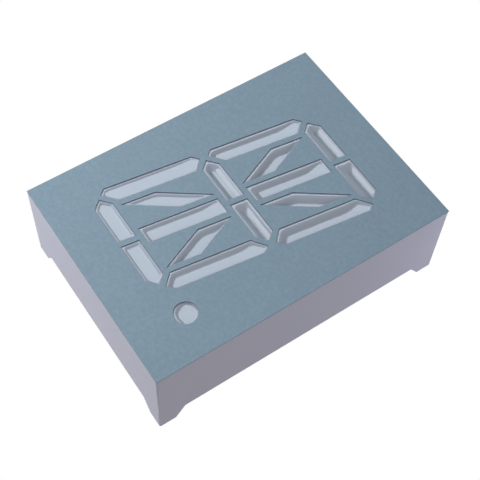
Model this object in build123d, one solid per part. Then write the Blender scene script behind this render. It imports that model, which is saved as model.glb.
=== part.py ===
from build123d import *
import math
import os

# Sixteen-segment LED display: one slanted character and a decimal point, face up.
# Millimetres. X runs across the character, Y up it and Z out of its face.
# The origin is the middle of the pin grid, on the plane that the four feet stand on.

# Package
package_width = 20.0
package_length = 27.7
package_height = 8.5
body_corner_radius = 0.15

# Face film
film_thickness = 0.08
film_margin = 0.07

# Moulded housing
wall_thickness = 0.8
seat_width = 0.5
pocket_corner_radius = 0.5
face_plate_thickness = 1.0
foot_height = 1.3
foot_tip_length = 1.5
foot_slope_length = 0.9
cell_wall = 0.45
cell_floor_share = 0.5
cell_floor_gap = 0.15

# Character
character_height = 20.32
character_width = 10.98
slant_angle = 8.0
character_shift = -0.18
bar_width = 1.55
bar_gap = 0.48
waist_tip_gap = 0.7
end_tip_drop = 1.09
upright_tip_inset = 0.51
level_tip_inset = 0.85
diagonal_side = 2.95
point_diameter = 1.95
point_x = 6.3
point_y = -8.98

# Epoxy casting: how far it has sunk in the middle of each window
dish_rim = 0.05
dish_slope_width = 0.3
dish_steps = 3
dish_depth = {
    "a1": 0.5,
    "a2": 0.54,
    "b": 0.27,
    "c": 0.17,
    "d1": 0.08,
    "d2": 0.08,
    "e": 0.06,
    "f": 0.18,
    "g1": 0.3,
    "g2": 0.38,
    "h": 0.28,
    "i": 0.24,
    "j": 0.3,
    "k": 0.22,
    "l": 0.13,
    "m": 0.08,
    "dp": 0.3,
}

# Circuit board and its copper
board_thickness = 0.8
board_clearance = 0.15
board_back_height = 2.2
board_notch_width = 4.0
board_notch_depth = 1.2
copper_thickness = 0.07
pad_size = 0.5
pad_spacing = 0.95

# LED chips and bond wires
chip_size = 0.3
chip_height = 0.22
wire_diameter = 0.04
wire_sides = 6
wire_rise = 0.15

# Pins
pins_in_a_row = 9
pin_pitch = 2.54
pin_row_spacing = 15.24
pin_diameter = 0.5
pin_tenon_side = 0.35
pin_length = 4.0

# Heights above the feet
film_back = package_height - film_thickness
plate_back = film_back - face_plate_thickness
board_front = board_back_height + board_thickness
copper_front = board_front + copper_thickness
chip_top = copper_front + chip_height
cell_floor = board_front + cell_floor_gap

# Places and alignment
middle = Vector(0, 0)
point_place = Vector(point_x, point_y)
on_base = (Align.CENTER, Align.CENTER, Align.MIN)

# Half sizes of the character
half_height = character_height / 2
half_width = character_width / 2
half_bar = bar_width / 2
upright_inner = half_width - bar_width


def slanted(u, v):
    """Place on the face of a point of the upright character."""
    return Vector(u + v * math.tan(math.radians(slant_angle)) + character_shift, v)


def upright_bar():
    """Right upper outer bar, with a mitred tip at both ends."""
    tip = half_width - upright_tip_inset
    low_tip = waist_tip_gap / 2
    high_tip = half_height - end_tip_drop
    return [
        (upright_inner, half_bar + bar_gap),
        (tip, low_tip),
        (half_width, low_tip + upright_tip_inset),
        (half_width, high_tip - upright_tip_inset),
        (tip, high_tip),
        (upright_inner, half_height - bar_width - bar_gap),
    ]


def level_bar(middle):
    """Right half of a level bar, cut square at the middle and pointed outside."""
    tip = half_width - level_tip_inset
    return [
        (bar_gap / 2, middle - half_bar),
        (tip - half_bar, middle - half_bar),
        (tip, middle),
        (tip - half_bar, middle + half_bar),
        (bar_gap / 2, middle + half_bar),
    ]


def middle_bar():
    """Upper bar between the two diagonals."""
    low = half_bar + bar_gap
    high = half_height - bar_width - bar_gap
    return [(-half_bar, low), (half_bar, low), (half_bar, high), (-half_bar, high)]


def diagonal_bar():
    """Right upper diagonal, with an upright side at each end."""
    near = half_bar + bar_gap
    far = upright_inner - bar_gap
    low = half_bar + bar_gap
    high = half_height - bar_width - bar_gap
    return [(near, low), (far, high - diagonal_side), (far, high), (near, low + diagonal_side)]


def placed(points, side, level):
    """Outline on the face, counterclockwise, mirrored into a quarter of the character."""
    outline = [slanted(side * u, level * v) for u, v in points]
    return outline if side * level > 0 else outline[::-1]


def segment_outlines():
    """Window outline of each of the sixteen segments."""
    top = half_height - half_bar
    outlines = {}
    for name, side, level in (("b", 1, 1), ("c", 1, -1), ("e", -1, -1), ("f", -1, 1)):
        outlines[name] = placed(upright_bar(), side, level)
    for name, side, middle in (
        ("a1", -1, top),
        ("a2", 1, top),
        ("d1", -1, -top),
        ("d2", 1, -top),
        ("g1", -1, 0.0),
        ("g2", 1, 0.0),
    ):
        outlines[name] = placed(level_bar(middle), side, 1)
    for name, level in (("i", 1), ("l", -1)):
        outlines[name] = placed(middle_bar(), 1, level)
    for name, side, level in (("h", -1, 1), ("j", 1, 1), ("k", 1, -1), ("m", -1, -1)):
        outlines[name] = placed(diagonal_bar(), side, level)
    return outlines


def inset(outline, distance):
    """Convex outline with every side moved in by the same distance."""
    count = len(outline)
    corners = []
    for k, here in enumerate(outline):
        before = (here - outline[k - 1]).normalized()
        after = (outline[(k + 1) % count] - here).normalized()
        inward = Vector(-before.Y, before.X) + Vector(-after.Y, after.X)
        corners.append(here + inward * (distance / (1 + before.dot(after))))
    return corners


def centre_of(outline):
    """Mean of an outline's corners."""
    return sum(outline, Vector(0, 0)) / len(outline)


def shrunk(outline, share):
    """Outline scaled about its centre."""
    centre = centre_of(outline)
    return [centre + (corner - centre) * share for corner in outline]


def raised(outline, height):
    """Outline's corners at a height."""
    return [Vector(corner.X, corner.Y, height) for corner in outline]


def flat_sided(rings):
    """Solid whose flat sides join each ring of corners to the next one."""
    faces = [Face(Wire.make_polygon(rings[0][::-1])), Face(Wire.make_polygon(rings[-1]))]
    count = len(rings[0])
    for low, high in zip(rings, rings[1:]):
        for k in range(count):
            n = (k + 1) % count
            faces.append(Face(Wire.make_polygon([low[k], low[n], high[n], high[k]])))
    return Solid(Shell(faces))


def prism(outline, low, high):
    """Straight prism on an outline."""
    return flat_sided([raised(outline, low), raised(outline, high)])


def rod(place, diameter, low, high):
    """Upright cylinder centred on a place."""
    return Pos(place.X, place.Y, low) * Cylinder(diameter / 2, high - low, align=on_base)


def cuboid(place, width, length, low, high):
    """Upright cuboid centred on a place."""
    return Pos(place.X, place.Y, low) * Box(width, length, high - low, align=on_base)


outlines = segment_outlines()
point_cell_diameter = point_diameter - 2 * film_margin
cell_tops = {name: inset(outline, film_margin) for name, outline in outlines.items()}
cell_floors = {name: shrunk(top, cell_floor_share) for name, top in cell_tops.items()}


def light_cells():
    """Cells from each window down to its chip: tapered, with a straight one at the point."""
    cells = [
        flat_sided([raised(cell_floors[name], cell_floor), raised(top, film_back)])
        for name, top in cell_tops.items()
    ]
    return cells + [rod(point_place, point_cell_diameter, cell_floor, film_back)]


def cell_funnels():
    """The same cells with the moulding's wall around them."""
    funnels = []
    for name, top in cell_tops.items():
        low = inset(cell_floors[name], -cell_wall)
        high = inset(top, -cell_wall)
        funnels.append(flat_sided([raised(low, cell_floor), raised(high, film_back)]))
    return funnels + [rod(point_place, point_cell_diameter + 2 * cell_wall, cell_floor, film_back)]


def block(width, length, radius, low, high):
    """Upright block with rounded corners, centred on the origin."""
    return Pos(0, 0, low) * extrude(RectangleRounded(width, length, radius), high - low)


pocket_width = package_width - 2 * wall_thickness
pocket_length = package_length - 2 * wall_thickness
void_width = pocket_width - 2 * seat_width
void_length = pocket_length - 2 * seat_width


def inside_space():
    """Everything inside the housing: board pocket, space round the funnels, and cells."""
    pocket = block(pocket_width, pocket_length, pocket_corner_radius, 0, board_front)
    void = block(void_width, void_length, pocket_corner_radius, board_front, plate_back)
    return (pocket + void - cell_funnels()) + light_cells()


def skirt_gaps():
    """Gaps in the skirt that leave a foot with sloped inner ends at each corner."""
    gaps = []
    for length, across, turn in (
        (package_length, package_width, 0),
        (package_width, package_length, 90),
    ):
        tip = length / 2 - foot_tip_length
        root = tip - foot_slope_length
        profile = Polygon((-tip, 0), (tip, 0), (root, foot_height), (-root, foot_height), align=None)
        gaps.append(Rot(0, 0, turn) * extrude(Plane.YZ * profile, across, both=True))
    return gaps


def reflector_housing(space):
    """White moulding: walls, feet, face plate and funnels."""
    body = block(package_width, package_length, body_corner_radius, 0, film_back)
    return body - skirt_gaps() - space


def face_film():
    """Grey film with a sharp-cornered window over each cell."""
    sheet = cuboid(middle, package_width, package_length, film_back, package_height)
    windows = [prism(outline, film_back, package_height) for outline in outlines.values()]
    return sheet - windows - rod(point_place, point_diameter, film_back, package_height)


def bar_axis(name):
    """Direction of a bar's length on the face."""
    longest = max(
        (b - a for a, b in zip(outlines[name], outlines[name][1:] + outlines[name][:1])),
        key=lambda side: side.length,
    )
    return longest.normalized()


def casting_dish(name):
    """Hollow left where the epoxy sank: steep at the rim and level in the middle."""
    rim = inset(cell_tops[name], dish_rim)
    rings = []
    for step in range(dish_steps, -1, -1):
        share = step / dish_steps
        depth = dish_depth[name] * math.sin(share * math.pi / 2)
        rings.append(raised(inset(rim, share * dish_slope_width), film_back - depth))
    return flat_sided(rings + [raised(rim, package_height)])


def point_dish():
    """Round hollow of the decimal point."""
    reach = point_cell_diameter / 2 - dish_rim
    depth = dish_depth["dp"]
    radius = (reach**2 + depth**2) / (2 * depth)
    return Pos(point_place.X, point_place.Y, film_back + radius - depth) * Sphere(radius)


def board_blank():
    """Laminate that lies against the seat, notched where the epoxy rises past it."""
    width = pocket_width - 2 * board_clearance
    length = pocket_length - 2 * board_clearance
    board = block(width, length, pocket_corner_radius - board_clearance, board_back_height, board_front)
    notches = [
        cuboid(Vector(0, edge), board_notch_width, 2 * board_notch_depth, board_back_height, board_front)
        for edge in (-length / 2, length / 2)
    ]
    return board - notches


def circuit_board():
    """Laminate, punched for the pins."""
    return board_blank() - [pin_tenon(place) for place in pin_places()]


def pin_places():
    """Pins down the left side and back up the right one."""
    first = (pins_in_a_row - 1) / 2
    left = [Vector(-pin_row_spacing / 2, (first - k) * pin_pitch) for k in range(pins_in_a_row)]
    right = [Vector(pin_row_spacing / 2, (k - first) * pin_pitch) for k in range(pins_in_a_row)]
    return left + right


def pin_tenon(place):
    """Square end of a pin, held in the board."""
    return cuboid(place, pin_tenon_side, pin_tenon_side, board_back_height, board_front)


def pin(place):
    """Round pin whose shoulder meets the back of the board."""
    return rod(place, pin_diameter, -pin_length, board_back_height) + pin_tenon(place)


def light_places():
    """Centre of each light cell and the direction from its chip to its wire pad."""
    places = {name: (centre_of(top), bar_axis(name)) for name, top in cell_tops.items()}
    places["dp"] = (point_place, Vector(0, 1))
    return places


def pad(place):
    """Square pad on the board."""
    return cuboid(place, pad_size, pad_size, board_front, copper_front)


def led_chip(place):
    """LED chip on its pad."""
    return cuboid(place, chip_size, chip_size, copper_front, chip_top)


def bond_wire(chip_place, pad_place):
    """Wire that rises from the chip, crosses over and comes down on the pad."""
    path = Polyline(
        (chip_place.X, chip_place.Y, chip_top),
        (chip_place.X, chip_place.Y, chip_top + wire_rise),
        (pad_place.X, pad_place.Y, chip_top),
        (pad_place.X, pad_place.Y, copper_front),
    )
    section = Plane(path @ 0, z_dir=(0, 0, 1)) * RegularPolygon(wire_diameter / 2, wire_sides)
    return sweep(section, path, transition=Transition.RIGHT)


def epoxy_casting(space, sealed_pieces):
    """One casting through cells and pocket, sunk in the windows, round all that it holds."""
    fill = space - block(package_width, package_length, body_corner_radius, 0, board_back_height)
    dishes = [casting_dish(name) for name in outlines]
    return fill - dishes - point_dish() - board_blank() - sealed_pieces


space = inside_space()
casing = {"reflector_housing": reflector_housing(space), "face_film": face_film()}

sealed = {}
pads = []
for name, (centre, axis) in light_places().items():
    chip_place = centre - axis * (pad_spacing / 2)
    pad_place = centre + axis * (pad_spacing / 2)
    pads += [pad(chip_place), pad(pad_place)]
    sealed[f"led_chip_{name}"] = led_chip(chip_place)
    sealed[f"bond_wire_{name}"] = bond_wire(chip_place, pad_place)
sealed["board_pads"] = Compound(pads)

board = {"circuit_board": circuit_board()}
for k, place in enumerate(pin_places()):
    board[f"pin_{k + 1:02d}"] = pin(place)
casting = {"epoxy_casting": epoxy_casting(space, sealed.values())}

os.makedirs("parts", exist_ok=True)
for name, piece in (casing | casting | board | sealed).items():
    export_step(piece, f"parts/{name}.step")
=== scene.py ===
# %% [markdown]
# # A sixteen-segment LED display under studio light
#
# The display arrives as finished solids: a white moulded housing, a grey film on its face,
# one casting of milky epoxy behind seventeen windows, a circuit board and eighteen pins.
# This notebook dresses those solids. It adds what a CAD file leaves out, which is the
# smooth sunken skin of the epoxy, the solder round the pins, softened edges and the
# finish of every surface. Then it lights them and points a camera.
#
# Everything is in metres. X runs across the character, Y up it and Z out of the face.
# The origin is the middle of the pin grid, level with the feet.

import math

import bmesh
import bpy
from mathutils import Matrix, Vector


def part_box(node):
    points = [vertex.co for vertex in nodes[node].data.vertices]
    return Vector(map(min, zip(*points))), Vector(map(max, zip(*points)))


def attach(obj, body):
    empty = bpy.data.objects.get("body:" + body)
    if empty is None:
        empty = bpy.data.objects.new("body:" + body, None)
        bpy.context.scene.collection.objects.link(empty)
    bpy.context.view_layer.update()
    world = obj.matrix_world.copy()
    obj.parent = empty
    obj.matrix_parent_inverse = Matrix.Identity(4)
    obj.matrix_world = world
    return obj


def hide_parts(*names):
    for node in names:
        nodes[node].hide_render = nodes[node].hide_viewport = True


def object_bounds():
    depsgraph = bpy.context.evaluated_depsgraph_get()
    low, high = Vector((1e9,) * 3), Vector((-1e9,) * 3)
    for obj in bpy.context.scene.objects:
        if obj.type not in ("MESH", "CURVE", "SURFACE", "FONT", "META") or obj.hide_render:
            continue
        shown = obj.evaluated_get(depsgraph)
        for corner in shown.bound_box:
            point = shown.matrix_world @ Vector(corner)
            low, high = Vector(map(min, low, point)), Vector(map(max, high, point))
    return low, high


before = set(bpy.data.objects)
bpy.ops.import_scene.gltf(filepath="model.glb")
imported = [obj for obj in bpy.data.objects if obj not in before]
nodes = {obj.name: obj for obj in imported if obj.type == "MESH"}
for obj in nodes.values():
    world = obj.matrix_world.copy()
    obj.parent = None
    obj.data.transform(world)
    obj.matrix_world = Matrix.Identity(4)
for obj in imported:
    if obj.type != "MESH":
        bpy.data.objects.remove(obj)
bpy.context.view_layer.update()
MM = 0.001

# %% [markdown]
# ## Shader arithmetic
#
# A material is a graph of nodes, and drawing one link at a time hides what it works out.
# `Signal` wraps one output socket, so that an expression such as `grain * 0.3 + 0.5`
# adds its Math nodes by itself. Every other node comes from `Graph.node`, which takes
# the node's type, its settings and what goes into its sockets. A texture and its tuning
# then read like a short recipe.


# %% A socket that takes part in arithmetic
class Signal:
    """One output socket of a node graph."""

    def __init__(self, graph, socket):
        self.graph = graph
        self.socket = socket

    def math(self, operation, first, second):
        """The result of a Math node on two signals or numbers."""
        return self.graph.node("ShaderNodeMath", {"operation": operation}, {0: first, 1: second})

    def __add__(self, other):
        return self.math("ADD", self, other)

    def __radd__(self, other):
        return self.math("ADD", other, self)

    def __rsub__(self, other):
        return self.math("SUBTRACT", other, self)

    def __mul__(self, other):
        return self.math("MULTIPLY", self, other)

    def above(self, threshold):
        """1 where the signal is over the threshold, otherwise 0."""
        return self.math("GREATER_THAN", self, threshold)


class Graph:
    """A node tree that starts empty."""

    def __init__(self, owner):
        owner.use_nodes = True
        self.tree = owner.node_tree
        self.tree.nodes.clear()

    def node(self, kind, settings, sockets, output=0):
        """Adds a node: its settings first, then the values or links of its sockets."""
        made = self.tree.nodes.new(kind)
        for name, value in settings.items():
            setattr(made, name, value)
        for name, value in sockets.items():
            if isinstance(value, Signal):
                self.tree.links.new(value.socket, made.inputs[name])
            else:
                made.inputs[name].default_value = value
        return Signal(self, made.outputs[output]) if made.outputs else None

    def seen_directly(self):
        """1 for camera rays and for those that a mirror or glass sends on, otherwise 0."""
        kinds = ("Is Camera Ray", "Is Glossy Ray", "Is Transmission Ray")
        return sum(self.node("ShaderNodeLightPath", {}, {}, kind) for kind in kinds)


print("signals and graphs ready")

# %% [markdown]
# `Finish` is a material with one Principled BSDF. A value that is the same all over the
# surface is set on the shader's own socket. Colour, roughness and relief change from place
# to place, so each has a method that takes a signal.

# %% A material written as a recipe
# A Mix node has sockets for every kind of data. These are the numbers of its colour ones.
MIX_A, MIX_B, MIX_COLOUR = 6, 7, 2


class Finish(Graph):
    """A material whose surface is one Principled BSDF."""

    def __init__(self, name, uniform):
        self.material = bpy.data.materials.new(name)
        super().__init__(self.material)
        self.surface = self.node("ShaderNodeBsdfPrincipled", {}, uniform)
        self.node("ShaderNodeOutputMaterial", {}, {"Surface": self.surface})
        self.place = self.node("ShaderNodeTexCoord", {}, {}, "Object")

    def grain(self, size, detail=2.0, stretch=(1.0, 1.0, 1.0)):
        """Noise from 0 to 1 whose lumps have about this size in metres."""
        multiply = {"operation": "MULTIPLY"}
        place = self.node("ShaderNodeVectorMath", multiply, {0: self.place, 1: stretch})
        sockets = {"Vector": place, "Scale": 1.0 / size, "Detail": detail}
        return self.node("ShaderNodeTexNoise", {}, sockets)

    def tint(self, share, low, high):
        """Colour between two, by a share from 0 to 1. Either may be a signal."""
        ends = [c if isinstance(c, Signal) else (*c, 1.0) for c in (low, high)]
        sockets = {"Factor": share, MIX_A: ends[0], MIX_B: ends[1]}
        return self.node("ShaderNodeMix", {"data_type": "RGBA"}, sockets, MIX_COLOUR)

    def facing(self, axis):
        """How far the surface faces along one axis, from -1 to 1."""
        normal = self.node("ShaderNodeNewGeometry", {}, {}, "Normal")
        return self.node("ShaderNodeSeparateXYZ", {}, {"Vector": normal}, axis)

    def feed(self, label, signal):
        """Links a signal into one of the shader's own sockets."""
        self.tree.links.new(signal.socket, self.surface.socket.node.inputs[label])

    def colour(self, signal):
        """Gives the surface its colour."""
        self.feed("Base Color", signal)

    def rough(self, least, spread, signal):
        """Roughness from the least value up to that value and the spread."""
        self.feed("Roughness", signal * spread + least)

    def relief(self, height, depth):
        """Bump: a height from 0 to 1 stands for this depth in metres."""
        self.feed("Normal", self.node("ShaderNodeBump", {}, {"Distance": depth, "Height": height}))


print("finishes ready")

# %% [markdown]
# ## White housing
#
# The housing is moulded in a thermoplastic loaded with white pigment, so that light
# stays in its own cell. Its skin copies the eroded face of the mould: a fine matte grain.
# A flat white would look like paper. Two noises do the work here. A coarse one drifts the
# colour slightly, as the flow of the melt does, and a fine one gives the grain its relief.

# %% White moulded plastic
HOUSING_WHITE = (0.335, 0.328, 0.395)
HOUSING_SHADE = (0.315, 0.308, 0.375)
FLOW_SIZE = 4.0 * MM
MOULD_GRAIN_SIZE, MOULD_GRAIN_DEPTH = 0.09 * MM, 0.006 * MM

white_plastic = Finish("white_moulded_plastic", {"IOR": 1.5})
flow = white_plastic.grain(FLOW_SIZE, detail=3.0)
skin_grain = white_plastic.grain(MOULD_GRAIN_SIZE, detail=3.0)
white_plastic.colour(white_plastic.tint(flow, HOUSING_SHADE, HOUSING_WHITE))
white_plastic.rough(0.42, 0.15, skin_grain)
white_plastic.relief(skin_grain, MOULD_GRAIN_DEPTH)
print("white plastic:", len(white_plastic.tree.nodes), "nodes")

# %% [markdown]
# ## Grey face film
#
# The film is a printed plastic sheet glued to the face. Its grey makes the unlit windows
# stand out. The ink lies a little unevenly, so two noises mix into its colour: a wide blush
# and a small mottle. Matte lacquer adds a very fine speckle to the gloss. The stamped edge
# shows the bare core of the sheet, which is darker, so the finish looks at the surface
# normal: where the surface doesn't face up, it takes the colour of the core. That dark
# colour is partly painted shade. It also stands for the dark shaded line along each window.

# %% Grey printed film
FILM_INK = (0.151, 0.213, 0.261)
FILM_INK_PALE = (0.236, 0.331, 0.397)
# Colour of the film's cut edge: partly the dark core, partly painted shade for the shaded line
# along the windows.
FILM_CORE_AND_SHADE = (0.07, 0.09, 0.12)
CUT_EDGE_BELOW = 0.6
BLUSH_SIZE, BLUSH_SHARE = 5.0 * MM, 0.2
MOTTLE_SIZE, MOTTLE_SHARE = 0.3 * MM, 0.8
SPECKLE_SIZE, SPECKLE_DEPTH = 0.07 * MM, 0.003 * MM

grey_film = Finish("grey_printed_film", {"IOR": 1.46})
blush = grey_film.grain(BLUSH_SIZE, detail=2.0)
mottle = grey_film.grain(MOTTLE_SIZE, detail=3.0)
speckle = grey_film.grain(SPECKLE_SIZE, detail=4.0)
ink = grey_film.tint(blush * BLUSH_SHARE + mottle * MOTTLE_SHARE, FILM_INK, FILM_INK_PALE)
# Painted shade: where the film doesn't face up, its cut edge gets the dark core colour, which also
# stands for the shaded line along each window.
cut_edge_painted_shade = 1 - grey_film.facing("Z").above(CUT_EDGE_BELOW)
grey_film.colour(grey_film.tint(cut_edge_painted_shade, ink, FILM_CORE_AND_SHADE))
grey_film.rough(0.42, 0.16, speckle)
grey_film.relief(speckle, SPECKLE_DEPTH)
print("grey film:", len(grey_film.tree.nodes), "nodes")

# %% [markdown]
# ## Milky epoxy
#
# The windows are the top of one clear epoxy casting with a white diffusing powder in it.
# The resin shrinks as it cures, so each window sinks a little and its skin sets glossy.
# The powder settles unevenly, and a soft cloudiness in the colour stands for that. A thin
# clear coat gives the sharp mirror of bare resin over the powder's dull white.

# %% Diffused epoxy
EPOXY_WHITE = (0.31, 0.35, 0.41)
EPOXY_CLOUD = (0.29, 0.33, 0.385)
CLOUD_SIZE = 0.8 * MM
RIPPLE_SIZE, RIPPLE_DEPTH = 0.5 * MM, 0.01 * MM

milky_epoxy = Finish("milky_epoxy", {"IOR": 1.53, "Coat Weight": 0.5, "Coat Roughness": 0.06})
cloud = milky_epoxy.grain(CLOUD_SIZE, detail=3.0)
ripple = milky_epoxy.grain(RIPPLE_SIZE, detail=1.0)
milky_epoxy.colour(milky_epoxy.tint(cloud, EPOXY_CLOUD, EPOXY_WHITE))
milky_epoxy.rough(0.1, 0.06, cloud)
milky_epoxy.relief(ripple, RIPPLE_DEPTH)
print("milky epoxy:", len(milky_epoxy.tree.nodes), "nodes")

# %% [markdown]
# ## Circuit board
#
# Turn the display over and the back of its board shows inside the skirt. Glass cloth
# under green solder resist gives it a faint woven relief. Two bands of stripes crossed at
# right angles make the cloth. The cut sides of the laminate have no resist, so they are
# the pale straw of bare resin and glass. Both flat sides have it, so the square of the
# normal's Z tells flat from cut.

# %% Laminate under solder resist
RESIST_GREEN = (0.018, 0.11, 0.045)
RESIST_DARK = (0.012, 0.075, 0.032)
LAMINATE_STRAW = (0.50, 0.43, 0.24)
CLOTH_THREADS = 1.0 / (0.45 * MM)
CLOTH_WOBBLE = 0.6
CLOTH_DEPTH = 0.012 * MM
WEAVE_SHARE, BLOTCH_SHARE = 0.6, 0.4
BLOTCH_SIZE = 1.5 * MM
CUT_SIDE_BELOW = 0.5

board_laminate = Finish("laminate_under_resist", {"IOR": 1.5})
threads = [
    board_laminate.node(
        "ShaderNodeTexWave",
        {"bands_direction": direction},
        {"Vector": board_laminate.place, "Scale": CLOTH_THREADS, "Distortion": CLOTH_WOBBLE},
        "Fac",
    )
    for direction in ("X", "Y")
]
weave = threads[0] * threads[1]
blotch = board_laminate.grain(BLOTCH_SIZE)
shade = weave * WEAVE_SHARE + blotch * BLOTCH_SHARE
resist = board_laminate.tint(shade, RESIST_DARK, RESIST_GREEN)
flat_side = board_laminate.facing("Z") * board_laminate.facing("Z")
on_flat_side = flat_side.above(CUT_SIDE_BELOW)
board_laminate.colour(board_laminate.tint(on_flat_side, LAMINATE_STRAW, resist))
board_laminate.rough(0.3, 0.12, weave)
board_laminate.relief(weave, CLOTH_DEPTH)
print("board laminate:", len(board_laminate.tree.nodes), "nodes")

# %% [markdown]
# ## Metals
#
# Tinned pins are drawn wire: bright, with fine scratches along their length. The scratch
# noise is stretched on Z to follow them. Solder is the same metal frozen from a puddle,
# so its grain has no direction. Gold covers the pads and makes the bond wires.


# %% Metal finishes
METAL_ROUGHNESS_SPREAD = 0.2
METAL_GRAIN_DEPTH = 0.004 * MM
ALL_WAYS = (1.0, 1.0, 1.0)
ALONG_PIN = (1.0, 1.0, 0.08)
TIN = ((0.58, 0.57, 0.54), (0.78, 0.77, 0.74))
SOLDER = ((0.55, 0.55, 0.56), (0.76, 0.76, 0.77))
PLATED_GOLD = ((0.83, 0.58, 0.22), (0.95, 0.72, 0.34))
DRAWN_GOLD = ((0.85, 0.60, 0.24), (0.96, 0.74, 0.36))


def metal(name, colours, grain_size, roughness, stretch=ALL_WAYS):
    """Metal whose grain varies its colour, from dark to bright, and its roughness."""
    finish = Finish(name, {"Metallic": 1.0})
    grain = finish.grain(grain_size, detail=3.0, stretch=stretch)
    finish.colour(finish.tint(grain, *colours))
    finish.rough(roughness, METAL_ROUGHNESS_SPREAD, grain)
    finish.relief(grain, METAL_GRAIN_DEPTH)
    print(name, len(finish.tree.nodes), "nodes")
    return finish


tinned_pin = metal("tinned_wire", TIN, 0.06 * MM, 0.22, ALONG_PIN)
solder = metal("frozen_solder", SOLDER, 0.2 * MM, 0.18)
gold_plate = metal("gold_plate", PLATED_GOLD, 0.08 * MM, 0.25)
gold_wire = metal("gold_wire", DRAWN_GOLD, 0.02 * MM, 0.2)

# %% [markdown]
# ## LED chip
#
# Each chip is a sawn cube of semiconductor crystal: dark, amber where it is thin, and
# glassy. Nobody sees it through the milky epoxy, but it has its finish all the same, for
# whoever opens the model up.

# %% Chip crystal
CRYSTAL_DARK = (0.16, 0.07, 0.02)
CRYSTAL_AMBER = (0.30, 0.15, 0.04)
SAW_MARK_SIZE, SAW_MARK_DEPTH = 0.03 * MM, 0.002 * MM
ROUND_THE_SIDES = (1.0, 1.0, 4.0)

chip_crystal = Finish("chip_crystal", {"IOR": 3.0})
saw_marks = chip_crystal.grain(SAW_MARK_SIZE, detail=3.0, stretch=ROUND_THE_SIDES)
chip_crystal.colour(chip_crystal.tint(saw_marks, CRYSTAL_DARK, CRYSTAL_AMBER))
chip_crystal.rough(0.2, 0.3, saw_marks)
chip_crystal.relief(saw_marks, SAW_MARK_DEPTH)
print("chip crystal:", len(chip_crystal.tree.nodes), "nodes")

# %% [markdown]
# ## Finishes on the solids
#
# The solids stay exactly as they were packed, and only their material slots change. The
# node names say what each one is, so a short table of name beginnings is enough.

# %% Assign the finishes
NODE_FINISHES = {
    "reflector_housing": white_plastic,
    "face_film": grey_film,
    "epoxy_casting": milky_epoxy,
    "circuit_board": board_laminate,
    "board_pads": gold_plate,
    "led_chip_": chip_crystal,
    "bond_wire_": gold_wire,
    "pin_": tinned_pin,
}


def wear(piece, finish):
    """Gives a piece its finish."""
    piece.data.materials.clear()
    piece.data.materials.append(finish.material)


for name, node in nodes.items():
    for beginning, finish in NODE_FINISHES.items():
        if name.startswith(beginning):
            wear(node, finish)
print("nodes with a finish:", len(nodes))

# %% [markdown]
# ## Softened edges
#
# No moulded or drawn edge is perfectly sharp, and a thin line of light along it tells the
# eye how hard the material is. A Bevel modifier gives that line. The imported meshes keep
# their faces apart so that edges shade sharp, so a Weld modifier joins them first.


# %% Bevel the edges that show
WELD_REACH = 0.0001 * MM
SHARP_ANGLE = math.radians(40)
BEVEL_STEPS = 2
EDGE_RADII = {"reflector_housing": 0.06 * MM, "face_film": 0.012 * MM, "circuit_board": 0.03 * MM}
PIN_EDGE_RADIUS = 0.06 * MM


def soften(node, radius):
    """Rounds a node's sharp edges inwards, without touching its mesh."""
    weld = node.modifiers.new("join faces", "WELD")
    weld.merge_threshold = WELD_REACH
    bevel = node.modifiers.new("soft edges", "BEVEL")
    bevel.width = radius
    bevel.segments = BEVEL_STEPS
    bevel.limit_method = "ANGLE"
    bevel.angle_limit = SHARP_ANGLE
    bevel.harden_normals = True


pin_names = sorted(name for name in nodes if name.startswith("pin_"))
for name, radius in EDGE_RADII.items():
    soften(nodes[name], radius)
for name in pin_names:
    soften(nodes[name], PIN_EDGE_RADIUS)
print("softened:", sum(1 for node in nodes.values() if node.modifiers))

# %% [markdown]
# ## Skin of the epoxy
#
# In CAD each window is a small hollow of flat faces. Real resin wets the wall of its cell
# and hangs between the walls as a smooth skin. It leaves the rim level, bends into a slope
# and levels out again on the floor of the hollow.
#
# The skin is a height field over the window's outline, so it can be worked out from one
# number at each point: the distance to the nearest side. A plain minimum would crease the
# skin along the middle of a bar. A soft minimum, the logarithm of a sum of exponentials,
# rounds that crease. The outline itself and the depth come from the CAD hollow.
#
# The skin isn't the same on every side, as if the display was tilted a little while its
# resin set. It doesn't climb the right (+X) side of a window. It climbs the lower (-Y) and
# upper (+Y) sides more steeply than the left one. Each hollow runs out towards its upper
# end, so that the shaded band along a bar tapers off there. The round decimal point is
# fuller than the bars, and its resin climbs only the lower side. Even the level part is a
# very shallow bowl, too shallow to see in the shape, but glossy resin shows it as a soft
# drift of brightness.

# %% Heights on a skin
# The slope of a skin: lengths in mm, softness per mm, and eases as shares of the slope.
SKIN_LEDGE = 0.06
SKIN_SLOPE = 0.42
SKIN_SOFTNESS = 12.0
SKIN_EASE_IN = 0.5
SKIN_EASE_OUT = 0.2
BOWL_DEPTH = 0.014

# The sides of a bar: how fast the climb dwindles towards +X, and how much steeper it is at
# the lower and upper sides. The drifts change that per mm up the character. A side counts
# as an upper one where it faces +Y by more than a limit, with a short blend.
SKIN_CLIMB_LOSS = 1.2
LOW_SIDE_STEEPNESS, LOW_SIDE_DRIFT = 1.25, -0.03
HIGH_SIDE_STEEPNESS, HIGH_SIDE_DRIFT = 1.4, 0.1
HIGH_SIDE_FROM, HIGH_SIDE_BLEND = 0.6, 0.15

# The upper end of a bar: the share of the depth that is left there, and the share of the
# window's height over which the depth grows to full.
END_DEPTH = 0.27
END_REACH = 0.27

# The decimal point, whose outline has more corners than any bar: its depth as a share of
# the CAD hollow's, which way the side lies that its resin climbs, and how fast the climb
# dwindles away from there.
BAR_SIDES = 6
POINT_FILL = 0.35
POINT_CLIMB = Vector((-0.5, -0.87))
POINT_CLIMB_LOSS, POINT_CLIMB_SPREAD = 2.0, 0.8


def clamped(value):
    """The value, held between 0 and 1."""
    return min(max(value, 0.0), 1.0)


def is_point(window):
    """Whether a window is the decimal point's."""
    return len(window["corners"]) > BAR_SIDES


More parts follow.
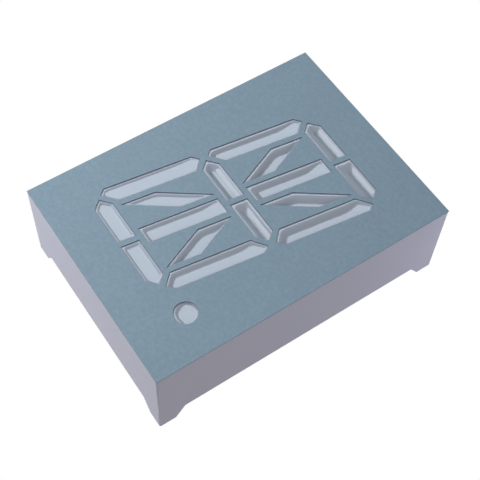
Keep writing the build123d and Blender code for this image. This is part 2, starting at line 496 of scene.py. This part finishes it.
def climb(outward, window):
    """How steeply the resin climbs the side of a window that lies this way, and how much of
    the slope is lost there, from 0 to 1."""
    if is_point(window):
        return 1.0, clamped(POINT_CLIMB_LOSS * (POINT_CLIMB_SPREAD - outward.dot(POINT_CLIMB)))
    up = max(window["centre"].y, 0.0)
    low_side = LOW_SIDE_STEEPNESS + LOW_SIDE_DRIFT * up
    high_side = HIGH_SIDE_STEEPNESS + HIGH_SIDE_DRIFT * up
    uphill = clamped((outward.y - HIGH_SIDE_FROM) / HIGH_SIDE_BLEND)
    downhill = max(-outward.y, 0.0)
    steepness = 1 + (low_side - 1) * downhill + (high_side - 1) * uphill
    return steepness, clamped(SKIN_CLIMB_LOSS * outward.x)


def climb_distance(place, window, width):
    """Soft distance in mm from a place to the nearest side that the resin climbs."""
    corners = window["corners"]
    softness = SKIN_SOFTNESS * max(len(corners) / BAR_SIDES, 1.0)
    total = 0.0
    for here, after in zip(corners, corners[1:] + corners[:1]):
        side = (after - here).normalized()
        outward = Vector((side.y, -side.x))
        steepness, lost = climb(outward, window)
        total += math.exp(-softness * (outward.dot(here - place) * steepness + lost * width))
    return -math.log(total) / softness


def sag_share(distance, width):
    """Share of the full depth: level at the wall, then straight down, then level again."""
    x = clamped((distance - SKIN_LEDGE) / width)
    start, bend = min(x, SKIN_EASE_IN), max(0.0, x - 1 + SKIN_EASE_OUT)
    run = start * start / (2 * SKIN_EASE_IN) + max(0.0, x - SKIN_EASE_IN)
    run -= bend * bend / (2 * SKIN_EASE_OUT)
    return run / (1 - (SKIN_EASE_IN + SKIN_EASE_OUT) / 2)


def depth_at(below_top, window):
    """Depth of the floor at a share of the window's height below its upper end."""
    if is_point(window):
        return window["depth"] * POINT_FILL
    share = clamped(below_top / END_REACH)
    return window["depth"] * (END_DEPTH + (1 - END_DEPTH) * share * share * (3 - 2 * share))


def sunk(place, window):
    """Where the skin lies over a place in a window, following the taper of the cell."""
    heights = [corner.y for corner in window["corners"]]
    below_top = (max(heights) - place.y) / (max(heights) - min(heights))
    depth = depth_at(below_top, window)
    width = depth / SKIN_SLOPE
    drop = depth * sag_share(climb_distance(place, window, width), width)
    bowl = 4 * clamped(below_top) * (1 - clamped(below_top))
    drop += BOWL_DEPTH * bowl
    inward = (window["centre"] - place) * window["taper"] * drop
    return Vector((*(place + inward), film_back / MM - drop)) * MM


slope_width = 0.5
halfway = SKIN_LEDGE + slope_width / 2
print("share of the depth halfway down a slope:", round(sag_share(halfway, slope_width), 3))

# %% [markdown]
# The mesh for a skin starts as a fine grid over the whole window. The outlines are all
# convex, so cutting the grid along each side in turn leaves exactly the window, with its
# border points right on the sides.


# %% A fine grid cut to an outline
SKIN_PITCH = 0.06
CUT_REACH = 0.0001


def clipped_grid(corners):
    """Flat fine mesh in mm inside a convex outline with counterclockwise corners."""
    xs, ys = [c.x for c in corners], [c.y for c in corners]
    width, length = max(xs) - min(xs), max(ys) - min(ys)
    centre = Vector(((max(xs) + min(xs)) / 2, (max(ys) + min(ys)) / 2, 0))
    skin = bmesh.new()
    bmesh.ops.create_grid(
        skin,
        x_segments=round(width / SKIN_PITCH),
        y_segments=round(length / SKIN_PITCH),
        size=0.5,
        matrix=Matrix.LocRotScale(centre, None, Vector((width, length, 1))),
    )
    for here, after in zip(corners, corners[1:] + corners[:1]):
        outward = Vector((after.y - here.y, here.x - after.x, 0)).normalized()
        bmesh.ops.bisect_plane(
            skin,
            geom=skin.verts[:] + skin.edges[:] + skin.faces[:],
            dist=CUT_REACH,
            plane_co=here.to_3d(),
            plane_no=outward,
            clear_outer=True,
        )
    return skin


# %% [markdown]
# The casting is copied, and its flat-sided hollows are found by the way they face. Each
# group of touching faces is one window. Its rim gives the outline and its lowest point the
# depth. The wall below the rim gives the taper, which is how much the cell narrows per
# millimetre down. Then the flat faces are taken off to make room for the skins.


# %% Find the hollows of the casting
HOLLOW_REACH = 0.6 * MM
UPWARD = 0.2


def in_hollow(face):
    """Whether a face of the casting looks up, close under the film."""
    return face.normal.z > UPWARD and face.calc_center_median().z > film_back - HOLLOW_REACH


def islands(faces):
    """Groups of faces that touch, always in the same order."""
    left = dict.fromkeys(faces)
    while left:
        group = [left.popitem()[0]]
        for face in group:
            for other in (other for side in face.edges for other in side.link_faces):
                if other in left:
                    del left[other]
                    group.append(other)
        yield group


def taper_at(top, centre):
    """Share by which the cell narrows per mm below a corner of the rim. Some of the edges
    that go down are diagonals of the wall, so it takes the one in line with the centre."""
    below = [edge.other_vert(top) for edge in top.link_edges]
    below = [v for v in below if v.co.z < top.co.z - HOLLOW_REACH]
    foot = min(below, key=lambda v: abs((v.co - centre).xy.cross((top.co - centre).xy)))
    shrink = 1 - (foot.co - centre).xy.length / (top.co - centre).xy.length
    return shrink / (top.co.z - foot.co.z) * MM


casting = bmesh.new()
casting.from_mesh(nodes["epoxy_casting"].data)
bmesh.ops.remove_doubles(casting, verts=casting.verts[:], dist=WELD_REACH)
film_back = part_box("reflector_housing")[1].z
hollow_faces = [face for face in casting.faces if in_hollow(face)]
windows = []
for group in islands(hollow_faces):
    edges = dict.fromkeys(edge for face in group for edge in face.edges)
    rim_edges = [edge for edge in edges if not set(edge.link_faces).issubset(group)]
    rim_verts = list(dict.fromkeys(vert for edge in rim_edges for vert in edge.verts))
    centre = sum((v.co for v in rim_verts), Vector()) / len(rim_verts)
    turn = sorted(rim_verts, key=lambda v: math.atan2(v.co.y - centre.y, v.co.x - centre.x))
    windows.append(
        {
            "corners": [v.co.xy / MM for v in turn],
            "centre": centre.xy / MM,
            "depth": (film_back - min(v.co.z for face in group for v in face.verts)) / MM,
            "taper": taper_at(turn[0], centre),
            "rim_edges": rim_edges,
            "rim_verts": rim_verts,
        }
    )
bmesh.ops.delete(casting, geom=hollow_faces, context="FACES_KEEP_BOUNDARY")
print("windows:", len(windows), "depths in mm:", sorted(round(w["depth"], 2) for w in windows))
print("taper of the cells per mm:", sorted({round(w["taper"], 3) for w in windows}))

# %% [markdown]
# A side of the old rim is one long edge, while the new skin has many points along it, so
# the long edge is split at those points. Rim and skin sink by the same rule, so the two
# meet point on point and join with no gap. Only the new skin shades smooth.


# %% Lay the skins in
def split_side(edge, points):
    """Splits a rim edge at points that lie along it, and returns the new corners."""
    corner, end = edge.verts
    origin, run = corner.co.copy(), end.co - corner.co
    done, made = 0.0, []
    for share in sorted((p - origin).dot(run) / run.length_squared for p in points):
        corner = bmesh.utils.edge_split(edge, corner, (share - done) / (1 - done))[1]
        done = share
        made.append(corner)
    return made


def on_side(point, edge, reach):
    """Whether a point lies on an edge and away from its ends."""
    a, b = edge.verts[0].co, edge.verts[1].co
    run = b - a
    share = (point - a).dot(run) / run.length_squared
    margin = reach / run.length
    return margin < share < 1 - margin and (a + run * share - point).length < reach


JOIN = 0.0015 * MM
for window in windows:
    skin = clipped_grid(window["corners"])
    border = [Vector((*(v.co.xy * MM), film_back)) for v in skin.verts if v.is_boundary]
    rim = list(window["rim_verts"])
    for edge in window["rim_edges"]:
        rim += split_side(edge, [p for p in border if on_side(p, edge, JOIN)])
    for vert in skin.verts:
        vert.co = sunk(vert.co.xy, window)
    for vert in rim:
        vert.co = sunk(vert.co.xy / MM, window)
    laid = bpy.data.meshes.new("skin")
    skin.to_mesh(laid)
    skin.free()
    casting.from_mesh(laid)
    bpy.data.meshes.remove(laid)
bmesh.ops.remove_doubles(casting, verts=casting.verts[:], dist=JOIN)
open_edges = [edge for edge in casting.edges if not edge.is_manifold]
for face in casting.faces:
    face.smooth = in_hollow(face)
print("casting faces:", len(casting.faces), "open edges:", len(open_edges))

# %% [markdown]
# The joined mesh becomes a piece of the display. It rides on the only body, stands in for
# the CAD casting and takes that casting's material slot.


# %% The casting as a piece
def piece_from(name, mesh, finish):
    """Makes an object of a bmesh, with its finish, body and slot."""
    data = bpy.data.meshes.new(name)
    mesh.to_mesh(data)
    mesh.free()
    piece = bpy.data.objects.new(name, data)
    bpy.context.scene.collection.objects.link(piece)
    wear(piece, finish)
    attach(piece, "root")
    return piece


epoxy_fill = piece_from("epoxy_fill", casting, milky_epoxy)
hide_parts("epoxy_casting")
print("epoxy fill:", len(epoxy_fill.data.polygons), "faces")

# %% [markdown]
# ## Solder round the pins
#
# Molten solder climbs a pin and spreads over its copper land, and freezes as a small cone
# with hollow sides. A stack of circles round the pin makes it, skinned over. Their radii
# follow a power curve, which is steep at the pin and flat at the land. The amount of
# solder differs a little from joint to joint, so the height steps through a few sizes.

# %% Solder joints
SOLDER_LAND_RADIUS = 0.68 * MM
SOLDER_HEIGHTS = (0.62 * MM, 0.55 * MM, 0.68 * MM)
SOLDER_RINGS = 9
SOLDER_SIDES = 32
SOLDER_CURVE = 2.6
board_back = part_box("circuit_board")[0].z


def circle(centre, radius, sides):
    """Places round a circle, counterclockwise."""
    turns = [math.tau * k / sides for k in range(sides)]
    return [centre + radius * Vector((math.cos(a), math.sin(a))) for a in turns]


def skin_over(mesh, outlines, levels, smooth=False):
    """Closes a skin over counterclockwise outlines that lie one above the other."""
    rings = [
        [mesh.verts.new((*place, level)) for place in outline]
        for outline, level in zip(outlines, levels)
    ]
    mesh.faces.new(rings[0][::-1])
    mesh.faces.new(rings[-1])
    for low, high in zip(rings, rings[1:]):
        for k in range(len(low)):
            mesh.faces.new((low[k - 1], low[k], high[k], high[k - 1])).smooth = smooth


def solder_joint(name, centre, pin_radius, height):
    """Solder fillet on the back of the board, round a pin."""
    outlines, levels = [], []
    for k in range(SOLDER_RINGS):
        spread = k / (SOLDER_RINGS - 1)
        radius = pin_radius + (SOLDER_LAND_RADIUS - pin_radius) * spread**SOLDER_CURVE
        outlines.append(circle(centre, radius, SOLDER_SIDES))
        levels.append(board_back - height * (1 - spread))
    mesh = bmesh.new()
    skin_over(mesh, outlines, levels, smooth=True)
    return piece_from(name, mesh, solder)


for k, name in enumerate(pin_names):
    low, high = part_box(name)
    height = SOLDER_HEIGHTS[k % len(SOLDER_HEIGHTS)]
    joint_name = name.replace("pin", "solder_joint")
    solder_joint(joint_name, (low + high).xy / 2, (high.x - low.x) / 2, height)
print("solder joints:", len(pin_names))

# %% [markdown]
# ## Copper tracks on the back
#
# Copper is etched from a foil and shows under the resist as low, paler ridges, because the
# resist is thinner over them. Each track leaves its pin level, steps aside at 45 degrees
# towards the segment that it feeds, and ends in a via that takes it through to the front.
# The names of the segments in the order of the pins are enough to lay all of them, since
# the chips' boxes say where each segment is. The decimal point lies over its own pin, so it
# needs no track.

# %% Copper tracks
TRACK_WIDTH = 0.4 * MM
TRACK_RISE = 0.05 * MM
TRACK_LEAD = 1.1 * MM
TRACK_STEP = 0.8 * MM
VIA_RADIUS = 0.5 * MM
VIA_RISE = 0.06 * MM
VIA_SIDES = 24
FOIL_GRAIN_SIZE, FOIL_GRAIN_DEPTH = 0.5 * MM, 0.01 * MM
THICK_RESIST = (0.05, 0.20, 0.06)
THIN_RESIST = (0.08, 0.25, 0.08)
LEFT_SEGMENTS = ("a1", "f", "h", "i", "g1", "e", "m", "l", "d1")
RIGHT_SEGMENTS = ("dp", "d2", "c", "k", "g2", "b", "j", "a2")


def strip(line, width):
    """Outline of a strip of this width along a line of places."""
    near, far = [], []
    for k, here in enumerate(line):
        before = (here - line[k - 1] if k else line[1] - here).normalized()
        after = (line[k + 1] - here if k + 1 < len(line) else here - line[k - 1]).normalized()
        across = (before + after).orthogonal()
        across *= width / 2 / across.dot(after.orthogonal())
        near.append(here + across)
        far.append(here - across)
    return far + near[::-1]


copper_under_resist = Finish("copper_under_resist", {"IOR": 1.5})
thinning = copper_under_resist.grain(FOIL_GRAIN_SIZE, detail=3.0)
copper_under_resist.colour(copper_under_resist.tint(thinning, THICK_RESIST, THIN_RESIST))
copper_under_resist.rough(0.25, 0.1, thinning)
copper_under_resist.relief(thinning, FOIL_GRAIN_DEPTH)

copper = bmesh.new()
for pin_name, segment in zip(pin_names, LEFT_SEGMENTS + RIGHT_SEGMENTS):
    start = sum(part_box(pin_name), Vector()).xy / 2
    goal = sum(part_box(f"led_chip_{segment}"), Vector()).xy / 2
    if abs(goal.x - start.x) < TRACK_LEAD + TRACK_STEP:
        continue
    way = math.copysign(1, goal.x - start.x)
    step = min(max(goal.y - start.y, -TRACK_STEP), TRACK_STEP)
    turn_off = start + Vector((way * TRACK_LEAD, 0))
    turn_on = turn_off + Vector((way * abs(step), step))
    via = Vector((goal.x, turn_on.y))
    route = [start, turn_off, turn_on, via] if abs(step) > JOIN else [start, via]
    skin_over(copper, [strip(route, TRACK_WIDTH)] * 2, (board_back - TRACK_RISE, board_back))
    land = circle(via, VIA_RADIUS, VIA_SIDES)
    skin_over(copper, [land] * 2, (board_back - VIA_RISE, board_back))
board_tracks = piece_from("board_tracks", copper, copper_under_resist)
print("board tracks:", len(board_tracks.data.polygons), "faces")

# %% [markdown]
# ## Floor and background
#
# A product shot on white needs a background that reads as pure white without flooding the
# object with light. The Light Path node tells camera rays and reflections from the rest.
# They see a plain white glow on the floor, so it shows no shadow, as in a cut-out picture.
# Every other ray meets ordinary grey paper, which sends soft light up under the display.

# %% Pale floor
PAPER_GREY = (0.62, 0.62, 0.62, 1.0)
PURE_WHITE = (1.0, 1.0, 1.0, 1.0)
FLOOR_SIZE = 1.2
floor_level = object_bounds()[0].z

floor_mesh = bpy.data.meshes.new("floor")
half = FLOOR_SIZE / 2
floor_corners = [(-half, -half, 0), (half, -half, 0), (half, half, 0), (-half, half, 0)]
floor_mesh.from_pydata(floor_corners, [], [(0, 1, 2, 3)])
floor = bpy.data.objects.new("floor", floor_mesh)
floor.location.z = floor_level
bpy.context.scene.collection.objects.link(floor)

pale_floor = bpy.data.materials.new("pale_floor")
floor_graph = Graph(pale_floor)
paper = floor_graph.node("ShaderNodeBsdfDiffuse", {}, {"Color": PAPER_GREY})
glow = floor_graph.node("ShaderNodeEmission", {}, {"Color": PURE_WHITE, "Strength": 1.0})
both = {0: floor_graph.seen_directly(), 1: paper, 2: glow}
mixed = floor_graph.node("ShaderNodeMixShader", {}, both)
floor_graph.node("ShaderNodeOutputMaterial", {}, {"Surface": mixed})
floor_mesh.materials.append(pale_floor)
print("floor at", round(floor_level / MM, 2), "mm")

# %% [markdown]
# The world is the soft light of the room. It has two backgrounds: a plain level that
# lights the display, and full white that only the camera and reflections see.

# %% World
ROOM_LEVEL = 0.06
ROOM_COLOUR = (0.95, 0.97, 1.0, 1.0)

world = bpy.data.worlds.new("studio")
bpy.context.scene.world = world
studio = Graph(world)
room = studio.node("ShaderNodeBackground", {}, {"Color": ROOM_COLOUR, "Strength": ROOM_LEVEL})
white = studio.node("ShaderNodeBackground", {}, {"Color": PURE_WHITE, "Strength": 1.0})
both = {0: studio.seen_directly(), 1: room, 2: white}
mixed = studio.node("ShaderNodeMixShader", {}, both)
studio.node("ShaderNodeOutputWorld", {}, {"Surface": mixed})
print("room light:", ROOM_LEVEL)

# %% [markdown]
# ## Lamps
#
# Glossy resin shows its shape by what it mirrors, so the first lamp is placed by
# reflection. The camera sees the top lamp, a cool softbox, in every part of a window that
# lies level or leans towards -Y. The slopes that lean towards +X or +Y mirror the plain
# white beside it, a third as bright, and those are the shaded bands in the windows.
#
# The other three work by plain diffuse light. The main lamp stands low beyond the corner
# between -X and -Y, so it lights the -Y end wall, and the -X end of that a little more.
# The fill lamp keeps the long +X side in half shade. The end lamp is small and stands
# below the level of the face, so it only lights the far part of that side.
#
# An area lamp of power P lights a facing surface at distance d with P / (pi * pi * d * d) of
# full white. The lamp helper solves that for P, so each lamp is given by how bright it
# makes things instead of by its watts.


# %% Area lamps
def area_lamp(name, direction, distance, size, level, colour):
    """Lamp that faces the display and lights it to a level, where 1 is full white.

    It stands this distance away, and its size is its width and height, all in metres."""
    data = bpy.data.lights.new(name, "AREA")
    data.shape = "RECTANGLE"
    data.size, data.size_y = size
    data.color = colour
    data.energy = level * (math.pi * distance) ** 2
    lamp = bpy.data.objects.new(name, data)
    towards = Vector(direction).normalized()
    lamp.location = towards * distance
    lamp.rotation_euler = towards.to_track_quat("Z", "Y").to_euler()
    bpy.context.scene.collection.objects.link(lamp)
    print(name, "power in W:", round(data.energy, 3))


area_lamp(
    "top_lamp",
    direction=(-0.52, 0.14, 0.79),
    distance=0.16,
    size=(0.14, 0.085),
    level=0.46,
    colour=(0.86, 0.97, 1.07),
)
area_lamp(
    "main_lamp",
    direction=(-0.52, -0.74, 0.38),
    distance=0.075,
    size=(0.08, 0.08),
    level=1.14,
    colour=(0.96, 1.0, 1.03),
)
area_lamp(
    "fill_lamp",
    direction=(1.0, -0.08, 0.65),
    distance=0.10,
    size=(0.06, 0.06),
    level=0.32,
    colour=(1.0, 0.97, 1.0),
)
area_lamp(
    "end_lamp",
    direction=(0.62, 0.78, 0.08),
    distance=0.036,
    size=(0.016, 0.01),
    level=0.18,
    colour=(0.88, 0.95, 1.15),
)

# %% [markdown]
# ## Camera
#
# The camera looks down on the display from beyond its lower right corner. Its place, its
# angles in degrees and its lens were worked out from the corners of the package, so the
# render has the perspective of a real close-up from there. Its near clip is set to a few
# millimetres, because the whole display is smaller than Blender's usual one.

# %% Camera
CAMERA_PLACE = (38.023 * MM, -28.044 * MM, 79.184 * MM)
CAMERA_TURN = (31.6009, -1.8523, 56.1945)
FOCAL_LENGTH = 78.94
SENSOR_WIDTH = 36.0
NEAR_CLIP = 5 * MM

camera_data = bpy.data.cameras.new("camera")
camera_data.lens = FOCAL_LENGTH
camera_data.sensor_width = SENSOR_WIDTH
camera_data.clip_start = NEAR_CLIP
camera = bpy.data.objects.new("camera", camera_data)
camera.location = CAMERA_PLACE
camera.rotation_euler = [math.radians(a) for a in CAMERA_TURN]
bpy.context.scene.collection.objects.link(camera)
bpy.context.scene.camera = camera
bpy.context.scene.view_settings.view_transform = "Standard"
print("camera distance in mm:", round(camera.location.length / MM, 1))
